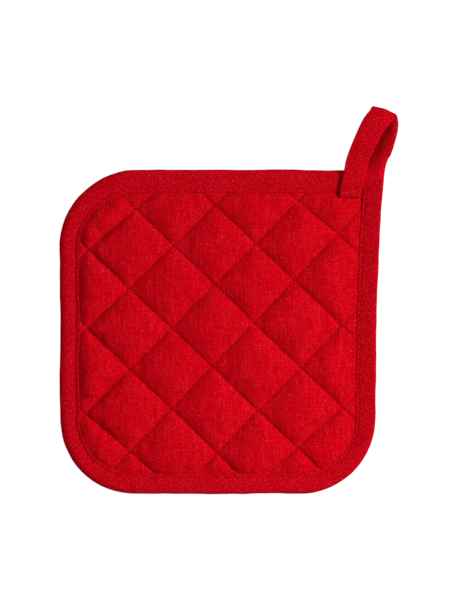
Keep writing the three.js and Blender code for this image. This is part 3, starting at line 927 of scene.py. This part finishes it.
def woven_cotton(name, colours, attribute=None, turn=0.0, slub=1.0, thread=1.3,
                 weave_tone=0.14, grit_tone=0.08, fleck_and_glint=0.38):
    """Plain woven cotton with slubs along one way, mottled dye and a few pale flecks; the pink of its
    palest threads and flecks is painted glint, since the shader has no specular.
    """
    deep, red, light = colours
    n = Nodes(name)
    place = n.mapped(n.place(attribute), (1, 1, 1), turn)
    ribs = n.noise(n.mapped(place, (900, 75, 300)), 1.0, 3.0, 0.6)
    cross_ribs = n.noise(n.mapped(place, (80, 800, 300)), 1.0, 2.0, 0.55)
    grain = n.noise(n.mapped(place, (1700, 900, 1200)), 1.0, 2.0, 0.7)
    grit = n.noise(n.mapped(place, (760, 760, 760), 20), 1.0, 1.0, 0.5)
    mottle = n.noise(place, 55, 3.0, 0.6)
    pitch = 0.314 / (thread * MM)
    warp = n.wave(place, pitch, "X", 1.6)
    weft = n.wave(place, pitch, "Y", 1.6)
    weave = n.math("MULTIPLY", warp, weft)
    tone = n.math("ADD", n.spread(ribs, 0.3, 0.7, -0.26 * slub, 0.26 * slub),
                  n.spread(grain, 0.3, 0.7, -0.45, 0.45))
    tone = n.math("ADD", tone, n.spread(weave, 0.0, 0.7, -0.8 * weave_tone, 1.2 * weave_tone))
    tone = n.math("ADD", tone, n.spread(warp, 0.0, 1.0, -0.05, 0.05))
    tone = n.math("ADD", tone, n.spread(grit, 0.35, 0.65, -grit_tone, grit_tone))
    tone = n.math("ADD", tone, n.spread(mottle, 0.3, 0.7, -0.07, 0.07))
    tone = n.math("ADD", tone, n.spread(cross_ribs, 0.3, 0.7, -0.1, 0.1))
    colour = n.mix(n.spread(tone, -0.6, 0.0, 0.0, 1.0), deep, red)
    # Paler threads and pale flecks, at random; their pink is painted glint, not the cloth's own colour.
    colour = n.mix(n.spread(tone, 0.05, 0.85, 0.0, 1.0), colour, light)
    flecks_and_glints = n.noise(n.mapped(place, (1150, 750, 900)), 1.0, 1.0, 0.5)
    colour = n.mix(n.spread(flecks_and_glints, 0.66, 0.8, 0.0, fleck_and_glint), colour, FLECK_AND_GLINT)
    normal = n.bump(weave, 0.35, 0.00012)
    normal = n.bump(ribs, 0.55 * slub, 0.00035, normal)
    normal = n.bump(cross_ribs, 0.25, 0.0003, normal)
    normal = n.bump(grain, 0.5, 0.00012, normal)
    return n.finish(colour, normal, 0.9, 0.06, (1.0, 0.02, 0.04))


def sewing_cotton(name):
    """Twisted cotton thread: its plies show as fine slanting bands."""
    n = Nodes(name)
    place = n.place()
    plies = n.wave(n.mapped(place, (1, 1, 1), 25), 1300, "DIAGONAL", 0.8)
    fuzz = n.noise(place, 3500, 2.0, 0.6)
    tone = n.math("ADD", n.spread(plies, 0, 1, -0.25, 0.25), fuzz)
    colour = n.mix(n.spread(tone, 0.2, 0.9, 0.0, 1.0), THREAD_DARK, THREAD_RED)
    normal = n.bump(fuzz, 0.3, 0.0001, n.bump(plies, 0.5, 0.0001))
    return n.finish(colour, normal, 0.7, 0.05, (1.0, 0.1, 0.12))


def batting(name):
    """Loose white cotton fibre."""
    n = Nodes(name)
    place = n.place()
    tufts = n.noise(place, 320, 4.0, 0.65)
    strands = n.noise(n.mapped(place, (300, 2200, 900), 30), 1.0, 3.0, 0.6)
    tone = n.math("ADD", tufts, n.spread(strands, 0.3, 0.7, -0.2, 0.2))
    colour = n.mix(n.spread(tone, 0.3, 0.8, 0.0, 1.0), (0.62, 0.58, 0.5), (0.86, 0.84, 0.78))
    normal = n.bump(strands, 0.5, 0.0003, n.bump(tufts, 0.6, 0.0008))
    return n.finish(colour, normal, 1.0, 0.3, (1.0, 1.0, 1.0))


def studio_floor(name):
    """A pale floor that glows almost white."""
    n = Nodes(name)
    clouds = n.noise(n.place(), 3.0, 2.0, 0.5)
    colour = n.mix(clouds, (0.14, 0.14, 0.14), (0.16, 0.16, 0.16))
    n.link(colour, n.shader.inputs["Base Color"])
    n.shader.inputs["Roughness"].default_value = 0.9
    n.shader.inputs["Specular IOR Level"].default_value = 0.0
    n.shader.inputs["Emission Color"].default_value = (1, 1, 1, 1)
    n.shader.inputs["Emission Strength"].default_value = FLOOR_GLOW
    return n.material


# ---- Light and camera ----

FLOOR_GLOW = 0.97
FILL = 0.24
KEY_FROM = (1.09, 0.24, 1.15)
KEY_AIMED_AT = (0.0, -2.5, 0.0)
KEY_WATTS = 46.6
KEY_SIZE = 0.55
SOFT_FROM = (-0.5, -0.4, 1.5)
SOFT_WATTS = 1.5
SOFT_SIZE = 0.9
CAMERA_AT = (0.00434, 0.01984, 2.0)  # it looks straight down, so the front is seen square on
CAMERA_LENS = 193.0
FLOOR_REACH, FLOOR_Z = 3000.0, -0.05


def area_light(name, place, watts, size, aimed_at=(0, 0, 0)):
    """A round lamp at a place, turned towards a point."""
    light = bpy.data.lights.new(name, "AREA")
    light.energy = watts
    light.shape = "DISK"
    light.size = size
    lamp = bpy.data.objects.new(name, light)
    lamp.location = place
    aim = np.array(aimed_at) - np.array(place)
    flat = math.hypot(aim[0], aim[1])
    lamp.rotation_euler = (math.atan2(flat, -aim[2]), 0, math.atan2(aim[1], aim[0]) - math.pi / 2)
    bpy.context.scene.collection.objects.link(lamp)


def studio():
    """The lamps, the soft room light and the camera."""
    scene = bpy.context.scene
    scene.view_settings.view_transform = "Standard"
    world = bpy.data.worlds.new("soft_room")
    scene.world = world
    world.use_nodes = True
    world.node_tree.nodes["Background"].inputs["Color"].default_value = (1, 1, 1, 1)
    world.node_tree.nodes["Background"].inputs["Strength"].default_value = FILL
    area_light("key", KEY_FROM, KEY_WATTS, KEY_SIZE, KEY_AIMED_AT)
    area_light("soft", SOFT_FROM, SOFT_WATTS, SOFT_SIZE)
    lens = bpy.data.cameras.new("camera")
    lens.lens = CAMERA_LENS
    lens.sensor_width = 36.0
    lens.clip_start, lens.clip_end = 0.05, 30.0
    camera = bpy.data.objects.new("camera", lens)
    camera.location = CAMERA_AT
    scene.collection.objects.link(camera)
    scene.camera = camera


def floor_piece():
    """The pale floor, which isn't part of the object."""
    corners = [(FLOOR_REACH * i, FLOOR_REACH * j, FLOOR_Z) for i, j in ((-1, -1), (1, -1), (1, 1), (-1, 1))]
    floor = make_object("floor", corners, [[(0, 1, 2, 3)]], False)
    floor.data.materials.append(studio_floor("pale_floor"))


# ---- Putting it together ----

SIDES = (("front", 1), ("back", -1))
WADDING_GAP = 1.1  # from a cloth's outer face to the wadding
WADDING_LOFT = 0.25
WADDING_HALF = 0.15  # half the thickness of the wadding where a seam pinches it
SEAM_FIRST_X = 88.0  # the binding's seam shows from here, past the sewn end
LOOP_WAY, LOOP_SEAM_Y = 60.0, 91.0  # the loop's seam ends on the pad, past this far along the loop
TACK_Y = 88.6
TACK_FROM_X, TACK_TO_X = 77.2, 88.6
TACK_Z = {"front": 9.2, "back": 1.25}
TACK_PITCH = 0.93 * STITCH_PITCH


def dress(piece, body, slot, material, *nodes):
    """Give a piece its material, attach it to its body's empty (a piece of "bend" only has its transform
    baked into its mesh) and hide the CAD nodes that it stands for.
    """
    piece.data.materials.append(material)
    if body == "bend":
        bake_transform(piece)
    else:
        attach(piece, body)
    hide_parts(*nodes)


def quilted_cloth(side, material):
    """One quilted cloth, and the grids of its outer face."""
    x, y, z, inset = cloth_surface(side)
    top, bottom = (z, z - CLOTH_THICKNESS) if side == "front" else (z + CLOTH_THICKNESS, z)
    cloth = closed_shell(f"quilted_cloth_{side}", x, y, top, bottom, inset, CLOTH_CUT)
    dress(cloth, "pad", "panel_cloth", material, f"{side}_panel")
    return x, y, z, inset


def wadding_batt(front, back, material):
    """The wadding, which fills the space between the two cloths and is pinched at every seam."""
    x, y, z, low, inset = (grid[::2, ::2] for grid in (*front[:3], back[2], front[3]))
    loft = WADDING_LOFT * value_noise(x / 3, y / 3, 95)
    top = np.maximum(z - WADDING_GAP + loft, MIDDLE_Z + WADDING_HALF)
    bottom = np.minimum(low + WADDING_GAP + loft, MIDDLE_Z - WADDING_HALF)
    wadding = closed_shell("wadding_batt", x, y, top, bottom, inset, WADDING_CUT)
    dress(wadding, "pad", "wadding_fibre", material, "wadding")


def quilting_rows(material):
    """The threads of the twelve quilting seams, on both sides."""
    for side, _ in SIDES:
        for label, seams in (("falling", FALLING), ("rising", RISING)):
            for number, line in enumerate(seams, 1):
                row = seam_stitches(side, label, number, line)
                dress(row, "pad", "sewing_thread", material, f"quilting_thread_{side}_{label}_{number}")


def tape_rows(frames, material):
    """The threads of the binding's seam, and of the seam that closes the loop's tape."""
    way, fold = frames["way"], frames["fold"]
    pad_end = way[frames["pad"]]
    seam_start = way[np.argmax(fold[:, 0] < SEAM_FIRST_X)]
    sewn = way[np.argmax((way > pad_end + LOOP_WAY) & (fold[:, 1] < LOOP_SEAM_Y))]
    for side, sign in SIDES:
        row = tape_stitches(f"stitches_binding_{side}", frames, seam_start, pad_end - 2, sign)
        dress(row, "pad", "sewing_thread", material, f"binding_thread_{side}")
    for label, sign in (("inner", 1), ("outer", -1)):
        row = tape_stitches(f"stitches_loop_{label}", frames, pad_end + 2, sewn, sign)
        dress(row, "bend", "sewing_thread", material, f"loop_edge_thread_{label}")


def tack_rows(material):
    """The threads of the row across the loop's sewn end."""
    x = np.arange(TACK_FROM_X, TACK_TO_X, TACK_PITCH)
    for side, sign in SIDES:
        centres = np.stack([x, np.full(len(x), TACK_Y), np.full(len(x), TACK_Z[side])], -1)
        row = stitches(f"stitches_tack_{side}", centres, np.broadcast_to([1.0, 0, 0], centres.shape),
                       np.broadcast_to(UP * sign, centres.shape))
        dress(row, "pad", "sewing_thread", material, f"loop_tack_thread_{side}")


def main():
    """Make the studio, the materials and every piece."""
    studio()
    panel_cotton = woven_cotton("quilted_cotton", (PANEL_DEEP, PANEL_RED, PANEL_PALE_AND_GLINT))
    tape_cotton = woven_cotton("bias_cotton", (TAPE_DEEP, TAPE_RED, TAPE_PALE_AND_GLINT), "cloth_co", turn=45,
                               slub=0.5, thread=1.15, weave_tone=0.26, grit_tone=0.34, fleck_and_glint=0.45)
    thread_cotton = sewing_cotton("sewing_cotton")
    fibre = batting("cotton_batting")
    front = quilted_cloth("front", panel_cotton)
    back = quilted_cloth("back", panel_cotton)
    wadding_batt(front, back, fibre)
    quilting_rows(thread_cotton)
    tape, frames = tape_piece()
    dress(tape, "bend", "tape_cloth", tape_cotton, "edge_binding", "hanging_loop", "loop_sewn_end")
    tape_rows(frames, thread_cotton)
    tack_rows(thread_cotton)
    floor_piece()


main()
